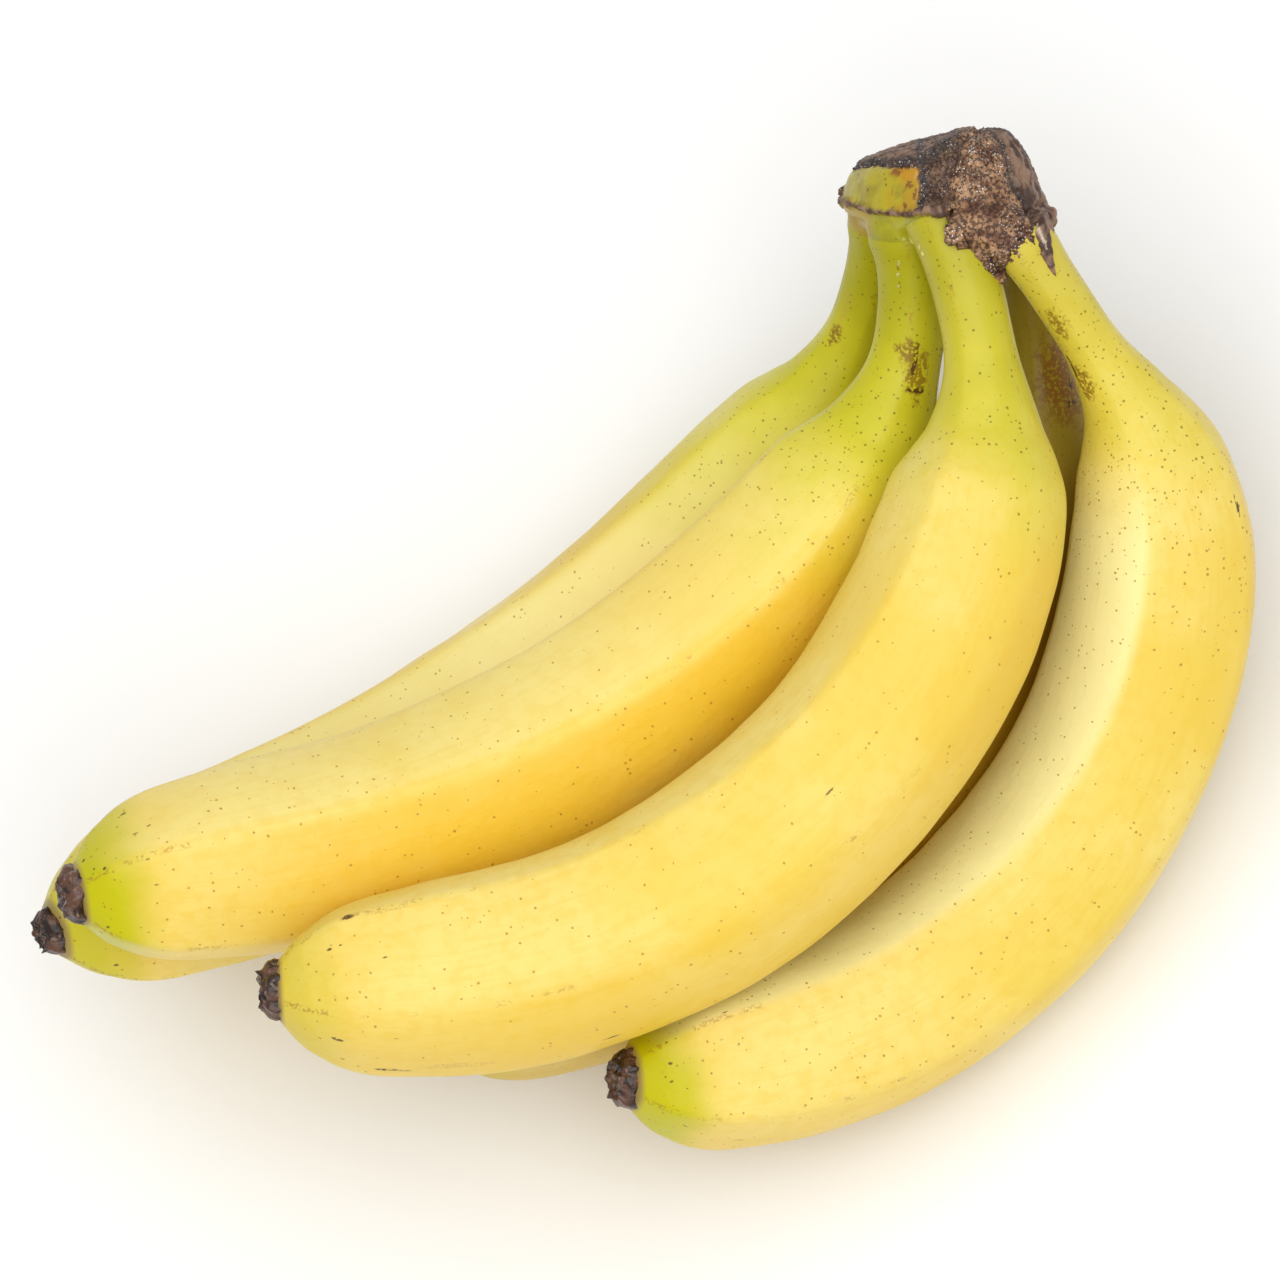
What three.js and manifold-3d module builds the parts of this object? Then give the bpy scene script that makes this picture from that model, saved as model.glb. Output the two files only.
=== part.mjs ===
// A hand of five bananas on its crown, lying on the curved backs of its lower fruits.
// Millimetres, +Z up. The floor is Z = 0, the origin is under the middle of the hand, and the
// fruits run along X with their dark tips towards -X.

import * as THREE from 'three';
import { ConvexGeometry } from 'three/addons/geometries/ConvexGeometry.js';
import { mergeVertices } from 'three/addons/utils/BufferGeometryUtils.js';
import Module from 'manifold-3d';

// ---- driving dimensions -------------------------------------------------------------------

// Each fruit is a flat curve. neckTop is where its neck leaves the crown, before the hand is
// laid down. heading is the way the neck points in plan, anticlockwise from +X, and dip how
// far it points below level. lean turns the curl over from straight up. bends are the degrees
// turned along the neck, the shoulder, the belly and the tip. early is how much sooner than
// usual its shoulder swells, as a share of its length, and neck how thick its neck is beside the
// usual. ridge is where the first of the five soft ridges stands half way along, measured round
// the fruit from the inside of its curl.
const FRUITS = [
  { name: 'banana_1', neckTop: [54.5, 71.0, 72.0], heading: -133, dip: 60, lean: 31,
    bends: [20, 23, 42, 4], length: 227, girth: 38.0, early: 0, neck: 1, ridge: 18 },
  { name: 'banana_2', neckTop: [59.8, 62.1, 83.6], heading: -102.6, dip: 41.7, lean: 67.7,
    bends: [29.1, 23.4, 40.8, -0.6], length: 222.9, girth: 37.9, early: 0, neck: 1.02,
    ridge: 10 },
  { name: 'banana_3', neckTop: [67.6, 60.0, 93.6], heading: -84.9, dip: 22.6, lean: 84.7,
    bends: [16.9, 25.9, 60.3, 7.6], length: 230.2, girth: 39.2, early: -0.004, neck: 1,
    ridge: 21 },
  { name: 'banana_4', neckTop: [81.0, 48.7, 90.8], heading: -70.9, dip: 46.7, lean: 83.9,
    bends: [1.2, 34.3, 73.2, 17.3], length: 226.1, girth: 37.5, early: 0.014, neck: 0.94,
    ridge: 21 },
  { name: 'banana_5', neckTop: [80.0, 63.6, 72.7], heading: -110, dip: 44, lean: 52,
    bends: [-2, 29, 54, 14], length: 218, girth: 35.0, early: 0, neck: 1, ridge: 24 },
];

// Where the neck, shoulder, belly and tip stretches end, as shares of a fruit's length.
const STRETCH_ENDS = [0, 0.14, 0.30, 0.82, 1];

// Where a fruit's own neck thickness and early shoulder start to fade out, and where they end.
const NECK_UNTIL = 0.14;
const BODY_FROM = 0.32;

// A fruit's thickness along its length: [share of length, share of girth].
const THICKNESS = [
  [0, 0.32], [0.015, 0.315], [0.06, 0.30], [0.12, 0.32], [0.17, 0.48], [0.195, 0.63],
  [0.22, 0.77], [0.25, 0.85], [0.28, 0.91], [0.32, 0.945], [0.36, 0.97], [0.46, 0.98],
  [0.53, 0.99], [0.60, 1], [0.67, 0.99], [0.74, 0.97], [0.79, 0.955], [0.84, 0.93],
  [0.875, 0.89], [0.91, 0.83], [0.935, 0.73], [0.955, 0.59], [0.97, 0.47], [0.985, 0.38],
  [1, 0.31],
];
const ROOT = 5;               // length of neck held inside the crown
const ROOT_THICKNESS = 0.26;  // its thickness at the end, as a share of girth
const SIDES = 15;             // three to each of the five ridges
const RIDGES = 5;
const RIDGE_RISE = 0.025;     // how far ridges stand out and faces sink in, as a share
const ROUND_UNTIL = 0.12;     // share of the length where ridges start to rise from the neck
const RIDGED_FROM = 0.24;     // share of the length where they stand full
const RIDGE_TWIST = 20;       // degrees that the ridges wind round the fruit
const TWISTS_FROM = 0.2;      // share of the length where they start to wind
const TWISTS_UNTIL = 0.8;     // share of the length where they stop

// The crown is an oval block of dried stalk: its long way is the strip that the necks grow
// from. yaw and pitch aim that strip, and roll turns the block about it.
const CROWN = { at: [66.7, 61.2, 81.9], yaw: -42, pitch: 28, roll: -45 };
const CROWN_SIDES = 28;
const CROWN_SQUARENESS = 2.2; // 2 is an ellipse, and more is squarer

// Its outline, level by level from the underside to the cut top: height of the level's middle,
// its slope along the strip, half length, half width and the middle's place.
const CROWN_LEVELS = [
  { z: 1.0, slope: 0.10, halfLength: 20.0, halfWidth: 13.3, x: -1.4, y: 2.2 },
  { z: 4.4, slope: 0.12, halfLength: 20.2, halfWidth: 13.5, x: -1.8, y: 1.8 },
  { z: 6.0, slope: 0.12, halfLength: 21.3, halfWidth: 14.8, x: -2.5, y: 1.2 },
  { z: 11.0, slope: 0.20, halfLength: 18.8, halfWidth: 13.4, x: -4.4, y: 1.2 },
  { z: 15.4, slope: 0.26, halfLength: 15.6, halfWidth: 11.0, x: -5.2, y: 1.2 },
  { z: 17.2, slope: 0.28, halfLength: 12.0, halfWidth: 7.5, x: -5.2, y: 1.2 },
];
const COLLAR_RINGS = 3;       // rings of each neck, from its root, that the collar wraps
const COLLAR_WALL = 0.8;      // skin of the collar that the neck roots grew together in
const JOIN_GAP = 0.3;         // clearance kept between a neck and its seat in the crown

// How the hand is laid down: turned about X and Y, in degrees, until it rests by its own
// weight, and moved until the origin is under its middle.
const LAID = { turnX: -0.8, turnY: 1, at: [15.7, -2.1, 0] };

// ---- materials ----------------------------------------------------------------------------

const peel = new THREE.MeshStandardMaterial({ color: 0xe8cf5a, roughness: 0.5, metalness: 0 });
const stalk = new THREE.MeshStandardMaterial({ color: 0x6f5238, roughness: 0.9, metalness: 0 });

// ---- shared geometry ----------------------------------------------------------------------

const radians = THREE.MathUtils.degToRad;
const { smoothstep } = THREE.MathUtils;

// Value at t of a line through [position, value] points.
function along(points, t) {
  const after = points.findIndex(([position]) => position >= t);
  if (after === 0) return points[0][1];
  if (after < 0) return points.at(-1)[1];
  const [from, low] = points[after - 1];
  const [to, high] = points[after];
  return THREE.MathUtils.mapLinear(t, from, to, low, high);
}

// A closed solid through rings of points, all of one count, with its two ends capped.
function loft(rings) {
  const count = rings[0].length;
  const positions = rings.flat().flatMap((point) => point.toArray());
  const index = [];
  for (let ring = 0; ring < rings.length - 1; ring += 1) {
    for (let side = 0; side < count; side += 1) {
      const next = (side + 1) % count;
      const a = ring * count + side;
      const b = ring * count + next;
      index.push(a, b, b + count, a, b + count, a + count);
    }
  }
  for (const [ring, flip] of [[0, true], [rings.length - 1, false]]) {
    const middle = positions.length / 3;
    const centre = new THREE.Vector3();
    rings[ring].forEach((point) => centre.addScaledVector(point, 1 / count));
    positions.push(...centre.toArray());
    for (let side = 0; side < count; side += 1) {
      const a = ring * count + side;
      const b = ring * count + (side + 1) % count;
      index.push(...(flip ? [middle, b, a] : [middle, a, b]));
    }
  }
  const geometry = new THREE.BufferGeometry();
  geometry.setAttribute('position', new THREE.Float32BufferAttribute(positions, 3));
  geometry.setIndex(index);
  return geometry;
}

// ---- the fruits ---------------------------------------------------------------------------

// Rings of one fruit in its own frame: the neck starts at the origin along +X and the fruit
// curls up towards +Z. grow thickens it all round.
function fruitRings({ bends, length, girth, early, neck, ridge }, grow = 0) {
  const turned = STRETCH_ENDS.map((end, count) => [
    end,
    bends.slice(0, count).reduce((sum, bend) => sum + bend, 0),
  ]);
  const ring = (share, x, z, turn, thickness) => {
    const shoulder = 1 - smoothstep(share, NECK_UNTIL, BODY_FROM);
    const radius = girth * thickness * (1 + (neck - 1) * shoulder) / 2 + grow;
    const rise = RIDGE_RISE * smoothstep(share, ROUND_UNTIL, RIDGED_FROM);
    const wound = RIDGE_TWIST * (smoothstep(share, TWISTS_FROM, TWISTS_UNTIL) - 0.5);
    const first = radians(ridge + wound);
    return Array.from({ length: SIDES }, (_, side) => {
      const around = side / SIDES * 2 * Math.PI;
      const reach = radius * (1 + rise * Math.cos(RIDGES * (around - first)));
      const out = reach * Math.cos(around);
      return new THREE.Vector3(
        x - out * Math.sin(turn),
        -reach * Math.sin(around),
        z + out * Math.cos(turn),
      );
    });
  };
  const rings = [ring(0, -ROOT, 0, 0, ROOT_THICKNESS)];
  const place = new THREE.Vector2();
  let last = 0;
  for (const [share] of THICKNESS) {
    const steps = 4;
    for (let step = 0; step < steps; step += 1) {
      const middle = last + (share - last) * (step + 0.5) / steps;
      const turn = radians(along(turned, middle));
      const run = (share - last) * length / steps;
      place.x += Math.cos(turn) * run;
      place.y += Math.sin(turn) * run;
    }
    last = share;
    const shoulder = 1 - smoothstep(share, NECK_UNTIL, BODY_FROM);
    const thickness = along(THICKNESS, share + early * shoulder);
    rings.push(ring(share, place.x, place.y, radians(along(turned, share)), thickness));
  }
  return rings;
}

function fruitMesh(fruit) {
  const mesh = new THREE.Mesh(loft(fruitRings(fruit)), peel.clone());
  mesh.name = fruit.name;
  mesh.position.set(...fruit.neckTop);
  mesh.rotation.set(radians(fruit.lean), radians(fruit.dip), radians(fruit.heading), 'ZYX');
  mesh.updateMatrix();
  return mesh;
}

// ---- the crown ----------------------------------------------------------------------------

const wasm = await Module();
wasm.setup();

function toSolid(geometry) {
  const bare = geometry.clone();
  bare.deleteAttribute('normal');
  bare.deleteAttribute('uv');
  const merged = mergeVertices(bare);
  return new wasm.Manifold(new wasm.Mesh({
    numProp: 3,
    vertProperties: Float32Array.from(merged.attributes.position.array),
    triVerts: Uint32Array.from(merged.index.array),
  }));
}

function toGeometry(solid) {
  const { numProp, vertProperties, triVerts } = solid.getMesh();
  const geometry = new THREE.BufferGeometry();
  const positions = Array.from({ length: vertProperties.length / numProp * 3 }, (_, item) => (
    vertProperties[Math.floor(item / 3) * numProp + item % 3]
  ));
  geometry.setAttribute('position', new THREE.Float32BufferAttribute(positions, 3));
  geometry.setIndex(Array.from(triVerts));
  return geometry;
}

function crownRing({ z, slope, halfLength, halfWidth, x, y }) {
  const bulge = (value) => Math.sign(value) * Math.abs(value) ** (2 / CROWN_SQUARENESS);
  return Array.from({ length: CROWN_SIDES }, (_, side) => {
    const around = side / CROWN_SIDES * 2 * Math.PI;
    const px = x + halfLength * bulge(Math.cos(around));
    const py = y + halfWidth * bulge(Math.sin(around));
    return new THREE.Vector3(px, py, z + slope * px);
  });
}

// The block and the collar below it, with a seat cut for each neck.
function crownMesh(fruits) {
  const mesh = new THREE.Mesh(undefined, stalk.clone());
  mesh.name = 'crown';
  mesh.position.set(...CROWN.at);
  mesh.rotation.set(radians(CROWN.roll), -radians(CROWN.pitch), radians(CROWN.yaw), 'ZYX');
  mesh.updateMatrix();
  const intoCrown = mesh.matrix.clone().invert();
  const placed = (fruit) => intoCrown.clone().multiply(fruitMesh(fruit).matrix);
  const collar = new ConvexGeometry(fruits.flatMap((fruit) => (
    fruitRings(fruit, COLLAR_WALL)
      .slice(0, COLLAR_RINGS)
      .flat()
      .map((point) => point.applyMatrix4(placed(fruit)))
  )));
  const block = toSolid(loft(CROWN_LEVELS.map(crownRing)));
  const seats = fruits.map((fruit) => (
    toSolid(loft(fruitRings(fruit, JOIN_GAP)).applyMatrix4(placed(fruit)))
  ));
  const crown = seats.reduce((solid, seat) => solid.subtract(seat), block.add(toSolid(collar)));
  mesh.geometry = toGeometry(crown);
  return mesh;
}

// ---- the hand -----------------------------------------------------------------------------

const hand = new THREE.Group();
hand.rotation.set(radians(LAID.turnX), radians(LAID.turnY), 0);
hand.position.set(...LAID.at);
hand.add(crownMesh(FRUITS));
FRUITS.forEach((fruit) => hand.add(fruitMesh(fruit)));

export default hand;
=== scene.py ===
import math

import bmesh
import bpy
from mathutils import Matrix, Vector, noise
from mathutils.bvhtree import BVHTree


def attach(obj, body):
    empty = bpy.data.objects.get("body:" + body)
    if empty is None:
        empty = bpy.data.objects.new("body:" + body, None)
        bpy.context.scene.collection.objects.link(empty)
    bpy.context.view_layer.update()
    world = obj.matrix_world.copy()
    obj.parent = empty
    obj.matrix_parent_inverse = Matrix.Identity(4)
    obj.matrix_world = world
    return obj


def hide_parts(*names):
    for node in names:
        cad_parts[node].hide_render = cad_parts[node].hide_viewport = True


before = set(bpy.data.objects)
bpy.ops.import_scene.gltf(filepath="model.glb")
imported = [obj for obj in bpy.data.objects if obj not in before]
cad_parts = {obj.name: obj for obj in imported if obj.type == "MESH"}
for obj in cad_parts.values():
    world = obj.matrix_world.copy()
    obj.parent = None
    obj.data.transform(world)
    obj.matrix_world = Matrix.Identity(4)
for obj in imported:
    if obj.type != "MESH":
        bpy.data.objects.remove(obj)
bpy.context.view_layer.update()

# ---- the five fruits ----------------------------------------------------------------------
# Each banana is one grown piece: a soft neck, a body with five ridges and a blunt tip, in one
# leathery peel. It grew out of the crown, hanging, and curled up towards the light.

MM = 0.001

# A fruit is a flat curve, in mm and degrees. neck_top is where it leaves the crown, heading the
# way the neck points in plan, dip how far it points down, and lean how far the curl is turned
# over from straight up. bends are the degrees turned along neck, shoulder, belly and tip, and
# ridge is where the first of the five ridges stands half way along, round from the inside of
# the curl. early is how much sooner than usual the shoulder swells, as a share of the length,
# and neck how thick the neck is beside the usual. root is how much of the neck is held inside
# the crown and flare how much it widens there.
# tints says how golden (1), as painted shade, or how pale (-1), as painted light, each face is,
# counted from the first ridge, and rounded is the ridge that is too rounded to show, if there is
# one.
# neck_green and tip_green say how unripe the ends are, green_until where the neck's green has
# faded out, stump how big the dried flower end is beside the usual, flecks how many brown ones
# there are and dull how brown the upper peel is painted, partly its own browning and partly
# painted shade.
# marks are the bruises, scratches and scars: how far along, where around, half length and half
# width.
FRUITS = {
    "banana_1": dict(
        neck_top=(54.5, 71.0, 72.0), heading=-133, dip=60, lean=31, bends=(20, 23.4, 43.2, -1),
        root=4.5, flare=0.8, length=229, girth=38.0, early=0, neck=1, ridge=18,
        painted_faces=(0, 0, 0, 0.2, -0.55), neck_green=1.0, green_until=0.48, tip_green=0.8,
        stump=0.84, flecks=1.0, brown_and_shade=0,
        marks=(("scar", 21, 347, 7, 0.7), ("bruise", 26, 350, 3, 1.5)),
    ),
    "banana_2": dict(
        neck_top=(59.8, 62.1, 83.6), heading=-102.6, dip=41.7, lean=67.7,
        bends=(29.1, 23.4, 40.8, -0.6), root=6, flare=0.9, length=222.9, girth=37.9, early=0,
        neck=1.16, ridge=10, painted_faces=(0, 0, 0, 0.62, -0.3), neck_green=1.0, green_until=0.40,
        tip_green=1.0, flecks=1.0, brown_and_shade=0,
        marks=(
            ("bruise", 25.5, 262, 5.0, 2.6), ("bruise", 21, 288, 2.4, 2.4),
            ("scratch", 23, 272, 3.4, 0.5), ("scratch", 28, 262, 0.6, 2.2),
        ),
    ),
    "banana_3": dict(
        neck_top=(67.6, 60.0, 93.6), heading=-84.9, dip=22.6, lean=84.7,
        bends=(16.9, 25.9, 60.3, 7.6), root=0.4, flare=0.6, length=230.2, girth=39.2,
        early=-0.004, neck=1.12, ridge=21, rounded=3, painted_faces=(0, 0, 0.45, 0.18, -0.2),
        neck_green=0.8, green_until=0.34, tip_green=0.38, flecks=0.6, brown_and_shade=0,
        marks=(
            ("scratch", 223, 336, 2.6, 0.45), ("scratch", 219.5, 350, 5, 0.4),
            ("scratch", 212.5, 319, 2.2, 0.6), ("scar", 206, 317, 9, 0.8),
            ("scratch", 216, 222, 3, 0.5), ("scratch", 207, 190, 7, 0.6),
            ("scar", 196, 196, 9, 1.2),
        ),
    ),
    "banana_4": dict(
        neck_top=(81.0, 48.7, 90.8), heading=-70.9, dip=46.7, lean=83.9,
        bends=(1.2, 34.3, 73.2, 17.3), root=4.6, flare=0.4, length=226.1, girth=37.5,
        early=0.014, neck=0.94, ridge=21, painted_faces=(0, 0, 0.3, 0.1, -1), neck_green=0.4,
        green_until=0.30, tip_green=1.0, flecks=1.25, brown_and_shade=0,
        marks=(
            ("bruise", 14, 322, 3.4, 1.8), ("bruise", 27, 335, 3.6, 2.4),
            ("scratch", 57, 231, 4.5, 0.4), ("scratch", 24, 352, 5, 0.5),
        ),
    ),
    "banana_5": dict(
        neck_top=(80.0, 63.6, 72.7), heading=-110, dip=44, lean=52, bends=(-2, 29, 54, 14),
        root=0.5, flare=0, length=218, girth=35.0, early=0, neck=1, ridge=24,
        painted_faces=(0.8, 0.8, 0.8, 0.8, 0.8), neck_green=0.9, green_until=0.35, tip_green=0.8,
        flecks=0.9, brown_and_shade=0.75,
        # The two bruises on its neck darken it where it shows between the necks of banana_3 and
        # banana_4: partly bruise, partly painted shade.
        marks=(
            ("bruise", 32, 252, 10, 6), ("bruise", 31, 255, 6, 3.4),
            ("scratch", 36, 248, 0.8, 1.4), ("scratch", 33, 240, 1.6, 0.5),
        ),
    ),
}
STRETCH_ENDS = (0, 0.14, 0.30, 0.82, 1)  # neck, shoulder, belly and tip, as shares of length
# Thickness along the fruit: share of the length, share of the girth.
THICKNESS = (
    (-0.03, 0.27), (0, 0.32), (0.015, 0.315), (0.06, 0.30), (0.12, 0.32), (0.17, 0.48),
    (0.195, 0.63), (0.22, 0.77), (0.25, 0.85), (0.28, 0.91), (0.32, 0.945), (0.36, 0.97),
    (0.46, 0.98), (0.53, 0.99), (0.60, 1), (0.67, 0.99), (0.74, 0.97), (0.79, 0.955),
    (0.84, 0.93), (0.875, 0.89), (0.91, 0.83), (0.935, 0.73), (0.955, 0.59), (0.97, 0.47),
    (0.985, 0.38), (1, 0.31),
)
PEEL_ENDS = 0.982    # share of the length where the peel gives way to the dried flower end
TIP_CLOSES = 0.958   # where it starts to round in to the flower end
TIP_RADIUS = 5.2     # of the peel round the flower end, mm
RIDGES = 5
RIDGE_TWIST = 20     # degrees the ridges wind between the shoulder and the belly's end
FACE_FLATNESS = 1.0  # how much flatter a face between two ridges is than the round
RIDGE_SOFTNESS = 3.2 # half width of a ridge's rounding, degrees round the fruit
ROUNDED = 24         # half width of the rounding of a ridge that does not show, degrees
ROUND = 360 / RIDGES
MEAN_SHAPE = 1.035   # of a ridged section beside a round one, so that girth is as given

# The whole hand is turned a little to lie by its own weight, and moved over its origin.
LAID = (
    Matrix.Translation((15.7, -2.1, 0))
    @ Matrix.Rotation(math.radians(-0.8), 4, "X")
    @ Matrix.Rotation(math.radians(1), 4, "Y")
)


def ease(value, low, high):
    """0 below low, 1 above high, and a smooth rise between them."""
    t = min(max((value - low) / (high - low), 0), 1)
    return t * t * (3 - 2 * t)


def smooth_through(points, t):
    """Value at t of a smooth curve through (position, value) points."""
    last = len(points) - 1
    after = next((i for i, point in enumerate(points) if point[0] >= t), last)
    i = min(max(after, 1), last)
    (x0, y0), (x1, y1) = points[i - 1], points[i]
    before, beyond = points[max(i - 2, 0)], points[min(i + 1, last)]
    rise_in = (y1 - before[1]) / (x1 - before[0])
    rise_out = (beyond[1] - y0) / (beyond[0] - x0)
    step = x1 - x0
    u = min(max((t - x0) / step, 0), 1)
    return (
        (1 + 2 * u) * (1 - u) ** 2 * y0 + u * (1 - u) ** 2 * step * rise_in
        + u * u * (3 - 2 * u) * y1 + u * u * (u - 1) * step * rise_out
    )


def turned(fruit, share):
    """How far the fruit's line has turned by that share of its length, in radians."""
    total = 0
    for bend, start, end in zip(fruit["bends"], STRETCH_ENDS, STRETCH_ENDS[1:]):
        total += bend * min(max((share - start) / (end - start), 0), 1)
    return math.radians(total)


def spine(fruit, shares):
    """Points of the fruit's middle line, in its own frame: (x, z, turn) at each share."""
    points = []
    at = min(shares[0], 0.0)
    x, z = at * fruit["length"], 0.0
    for share in shares:
        steps = max(1, math.ceil((share - at) / 0.004))
        for step in range(steps):
            turn = turned(fruit, at + (share - at) * (step + 0.5) / steps)
            x += math.cos(turn) * (share - at) / steps * fruit["length"]
            z += math.sin(turn) * (share - at) / steps * fruit["length"]
        at = share
        points.append((x, z, turned(fruit, share)))
    return points


def fruit_place(fruit):
    """The matrix that takes a fruit's own frame to where it lies, in mm."""
    return (
        LAID
        @ Matrix.Translation(fruit["neck_top"])
        @ Matrix.Rotation(math.radians(fruit["heading"]), 4, "Z")
        @ Matrix.Rotation(math.radians(fruit["dip"]), 4, "Y")
        @ Matrix.Rotation(math.radians(fruit["lean"]), 4, "X")
    )


def first_ridge(fruit, share):
    return fruit["ridge"] + RIDGE_TWIST * (ease(share, 0.2, 0.8) - 0.5)


def off_ridge(fruit, share, around):
    """Degrees from that place to the nearest ridge, and which ridge it is."""
    from_first = (around - first_ridge(fruit, share)) / ROUND
    return (from_first - round(from_first)) * ROUND, round(from_first) % RIDGES


def reach(fruit, share, around):
    """Distance from the middle line to the peel, in mm. around is in degrees."""
    off, which = off_ridge(fruit, share, around)
    softness = RIDGE_SOFTNESS * (1 + 0.5 * math.sin(which * 2.4 + fruit["ridge"]))
    if which == fruit.get("rounded"):
        softness = ROUNDED
    off = math.hypot(off, softness)
    from_face = math.radians(max(ROUND / 2 - off, 0))
    flat = FACE_FLATNESS
    shape = math.sqrt((1 + flat) ** 2 - (flat * math.sin(from_face)) ** 2)
    shape -= flat * math.cos(from_face)
    # Ridges are faint on the neck, full on the body and sharpest at the tip.
    relief = 0.45 + 0.55 * ease(share, 0.12, 0.26) + 0.5 * ease(share, 0.86, 0.95)
    shoulder = 1 - ease(share, 0.14, 0.32)
    thickness = smooth_through(THICKNESS, share + fruit["early"] * shoulder)
    thickness *= 1 + (fruit["neck"] - 1) * shoulder
    radius = fruit["girth"] / 2 * thickness * (1 + relief * (shape - MEAN_SHAPE))
    radius += fruit["flare"] * (1 - ease(share * fruit["length"], -3, 6))
    closing = max(share - TIP_CLOSES, 0) / (PEEL_ENDS - TIP_CLOSES)
    return radius + (TIP_RADIUS - radius) * closing ** 2.5


def on_fruit(share_place, around, out):
    """A point in the fruit's own frame, out from the middle line at that angle."""
    x, z, turn = share_place
    side = out * math.cos(math.radians(around))
    return Vector((
        x - side * math.sin(turn),
        -out * math.sin(math.radians(around)),
        z + side * math.cos(turn),
    ))


def tube(sides, rings):
    """A closed tube from z 0 to 1 with radius 1, cut into rings."""
    made = bmesh.new()
    bmesh.ops.create_cone(
        made, cap_ends=True, segments=sides, radius1=1, radius2=1, depth=1,
        matrix=Matrix.Translation((0, 0, 0.5)),
    )
    long_edges = [
        edge for edge in made.edges
        if abs(edge.verts[0].co.z - edge.verts[1].co.z) > 0.5
    ]
    bmesh.ops.subdivide_edges(made, edges=long_edges, cuts=rings - 1, use_grid_fill=True)
    return made


def as_object(name, made, smooth=True):
    """The finished bmesh as an object of that name, at the origin."""
    mesh = bpy.data.meshes.new(name)
    made.to_mesh(mesh)
    made.free()
    if smooth:
        mesh.shade_smooth()
    piece = bpy.data.objects.new(name, mesh)
    bpy.context.scene.collection.objects.link(piece)
    return piece


FRUIT_SIDES = 120
FRUIT_RINGS = 320
LUMP = 0.5      # height of the soft unevenness of a body, mm
RIPPLE = 0.12   # height of its finer unevenness, mm


def grow_fruit(name, fruit):
    made = tube(FRUIT_SIDES, FRUIT_RINGS)
    straight = made.verts.layers.float_vector.new("straight")
    share_at = made.verts.layers.float.new("share")
    from_ridge = made.verts.layers.float.new("from_ridge")
    painted_face = made.verts.layers.float.new("painted_face")
    start = -fruit["root"] / fruit["length"]
    shares = [start + (PEEL_ENDS - start) * ring / FRUIT_RINGS for ring in range(FRUIT_RINGS + 1)]
    line = spine(fruit, shares)
    place = fruit_place(fruit)
    seed = Vector((fruit["heading"], fruit["length"], fruit["lean"]))
    for vert in made.verts:
        ring = round(vert.co.z * FRUIT_RINGS)
        share = shares[ring]
        around = math.degrees(math.atan2(vert.co.y, vert.co.x))
        out = reach(fruit, share, around)
        angle = math.radians(around)
        flat = Vector((share * fruit["length"], out * math.cos(angle), out * math.sin(angle)))
        body = ease(share, 0.14, 0.3)
        out += LUMP * body * noise.noise(flat * 0.033 + seed)
        out += RIPPLE * (0.3 + body) * noise.noise(flat * 0.11 + seed)
        point = on_fruit(line[ring], around, out)
        vert.co = (place @ point) * MM
        vert[straight] = flat * MM
        vert[share_at] = share
        off, which = off_ridge(fruit, share, around)
        vert[from_ridge] = math.radians(abs(off)) * out * MM
        # Halfway between two faces' painted light and shade on their ridge, and each face's own
        # beyond it.
        ahead, behind = fruit["painted_faces"][which], fruit["painted_faces"][which - 1]
        vert[painted_face] = behind + (ahead - behind) * ease(off, -8, 8)
    return as_object(name, made)


def add(tree, kind, inputs=None, **settings):
    """One shader node, with its settings, and its inputs as values or as others' outputs."""
    made = tree.nodes.new("ShaderNode" + kind)
    for setting, value in settings.items():
        setattr(made, setting, value)
    for key, value in (inputs or {}).items():
        if isinstance(value, bpy.types.NodeSocket):
            tree.links.new(value, made.inputs[key])
        else:
            made.inputs[key].default_value = value
    return made


def remap(tree, value, low, high, to_low=0.0, to_high=1.0):
    """value from low..high to to_low..to_high, held inside them, with soft ends."""
    inputs = {
        "Value": value, "From Min": low, "From Max": high, "To Min": to_low, "To Max": to_high,
    }
    return add(tree, "MapRange", inputs, interpolation_type="SMOOTHSTEP").outputs["Result"]


def reckon(tree, how, *values):
    """The result of one sum."""
    return add(tree, "Math", dict(enumerate(values)), operation=how).outputs[0]


def times(tree, product, *factors):
    for factor in factors:
        product = reckon(tree, "MULTIPLY", product, factor)
    return product


def mixed(tree, mask, under, over, how="MIX"):
    """Colour over, laid on colour under where mask is 1."""
    inputs = {0: mask, 6: under, 7: over}
    return add(tree, "Mix", inputs, data_type="RGBA", blend_type=how).outputs[2]


def group(name, inputs, outputs):
    """An empty node group: its tree, its inputs' sockets and its output node."""
    tree = bpy.data.node_groups.new(name, "ShaderNodeTree")
    for label, kind, value in inputs:
        socket = tree.interface.new_socket(label, in_out="INPUT", socket_type=kind)
        if value is not None:
            socket.default_value = value
    for label, kind in outputs:
        tree.interface.new_socket(label, in_out="OUTPUT", socket_type=kind)
    return tree, tree.nodes.new("NodeGroupInput").outputs, tree.nodes.new("NodeGroupOutput")


def use(tree, made, inputs):
    """A node group placed in a material, with its inputs."""
    return add(tree, "Group", inputs, node_tree=made).outputs[0]


FLOAT = "NodeSocketFloat"
VECTOR = "NodeSocketVector"

# Soft patches: noise of that size, kept where it is above a level.
patches, given, out = group(
    "soft patches",
    [("Place", VECTOR, None), ("Per metre", FLOAT, 50.0), ("Fine", FLOAT, 2.0),
     ("From", FLOAT, 0.4), ("To", FLOAT, 0.6)],
    [("Mask", FLOAT)],
)
cloud = add(
    patches, "TexNoise",
    {"Vector": given["Place"], "Scale": given["Per metre"], "Detail": given["Fine"]},
)
patches.links.new(
    remap(patches, cloud.outputs["Fac"], given["From"], given["To"]), out.inputs["Mask"],
)

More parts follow.
